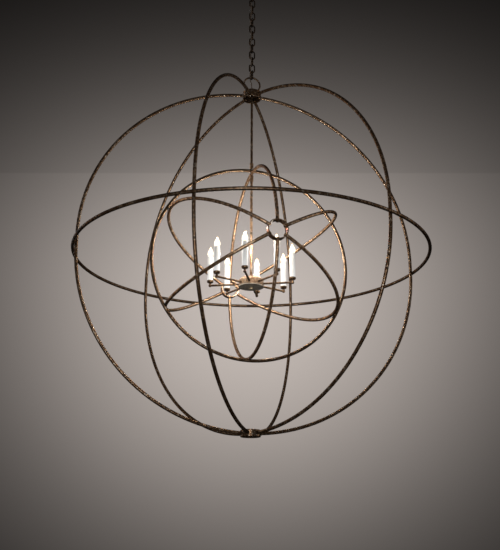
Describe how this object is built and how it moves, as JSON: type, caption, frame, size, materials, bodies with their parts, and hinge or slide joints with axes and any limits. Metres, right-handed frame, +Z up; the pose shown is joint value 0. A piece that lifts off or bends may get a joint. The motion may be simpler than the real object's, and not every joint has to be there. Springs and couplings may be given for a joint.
{
  "type": "chandelier",
  "caption": "Chain-hung ceiling chandelier: an open sphere of bronze ring tubes round a smaller tilted ring sphere, with candle-style lamps on arms at its centre.",
  "frame": {"origin": "on the ceiling plane, at the middle of the crossbar's top face, on the hanging axis", "axes": "+Z up out of the ceiling, X along the crossbar and one outer ring, -Y towards the inner orb's front pole"},
  "size_m": [1.3718, 1.372, 1.9832],
  "materials": {
    "aged_bronze": "hammered antique bronze with worn copper highlights",
    "dark_bronze": "dark antique bronze, satin",
    "plated_steel": "zinc plated",
    "polished_brass": "polished",
    "candle_white": "ivory white candle cover",
    "socket_plastic": "moulded lamp holder",
    "bulb_glass": "clear glass, lit",
    "cord_cover": "brown flexible cord cover"
  },
  "bodies": {
    "ceiling": {"mounting_crossbar": "plated_steel", "canopy_nipple": "plated_steel", "crossbar_nut": "plated_steel", "canopy": "dark_bronze", "canopy_collar": "dark_bronze", "canopy_loop": "dark_bronze", "supply_cord": "cord_cover"},
    "top_link": {"chain_link_01": "dark_bronze"},
    "chain": {"chain_link_02": "dark_bronze", "chain_link_03": "dark_bronze", "chain_link_04": "dark_bronze", "chain_link_05": "dark_bronze", "chain_link_06": "dark_bronze", "chain_link_07": "dark_bronze", "chain_link_08": "dark_bronze", "chain_link_09": "dark_bronze", "chain_link_10": "dark_bronze", "chain_link_11": "dark_bronze", "chain_link_12": "dark_bronze"},
    "bottom_link": {"chain_link_13": "dark_bronze"},
    "fixture": {"top_hub_band": "aged_bronze", "top_hub_plate": "aged_bronze", "bottom_hub_band": "aged_bronze", "outer_equator": "aged_bronze", "inner_equator": "aged_bronze", "inner_pole_front": "aged_bronze", "inner_pole_back": "aged_bronze", "outer_meridian_1": "aged_bronze", "outer_meridian_2": "aged_bronze", "outer_meridian_3": "aged_bronze", "outer_meridian_4": "aged_bronze", "outer_meridian_5": "aged_bronze", "outer_meridian_6": "aged_bronze", "inner_meridian_1": "aged_bronze", "inner_meridian_2": "aged_bronze", "inner_meridian_3": "aged_bronze", "inner_meridian_4": "aged_bronze", "inner_meridian_5": "aged_bronze", "inner_meridian_6": "aged_bronze", "hanging_loop": "dark_bronze", "stem_upper": "dark_bronze", "stem_lower": "dark_bronze", "coupling_upper": "dark_bronze", "coupling_lower": "dark_bronze", "candle_drum": "dark_bronze", "drum_cover": "dark_bronze", "candle_arms": "dark_bronze", "arm_knuckles": "dark_bronze", "candle_cups": "dark_bronze", "hub_lock_nut": "plated_steel", "outer_ring_pins": "plated_steel", "orb_nipple": "plated_steel", "inner_ring_pins": "plated_steel", "drum_lock_nuts": "plated_steel", "arm_nuts": "plated_steel", "drum_cap_nut": "polished_brass", "bulb_bases": "polished_brass", "candle_sleeves": "candle_white", "lamp_sockets": "socket_plastic", "bulb_glass": "bulb_glass"}
  },
  "joints": [
    {"name": "top_link_swing", "type": "hinge", "parent": "ceiling", "child": "top_link", "pos_m": [0, 0, -0.102], "axis": [1, 0, 0], "range_deg": [-15, 15], "deforming": ["supply_cord"]},
    {"name": "chain_swing", "type": "hinge", "parent": "top_link", "child": "chain", "pos_m": [0, 0, -0.1328], "axis": [0, 1, 0], "range_deg": [-15, 15]},
    {"name": "bottom_link_swing", "type": "hinge", "parent": "chain", "child": "bottom_link", "pos_m": [0, 0, -0.47985], "axis": [1, 0, 0], "range_deg": [-15, 15]},
    {"name": "fixture_swing", "type": "hinge", "parent": "bottom_link", "child": "fixture", "pos_m": [0, 0, -0.5114], "axis": [0, 1, 0], "range_deg": [-15, 15]}
  ]
}
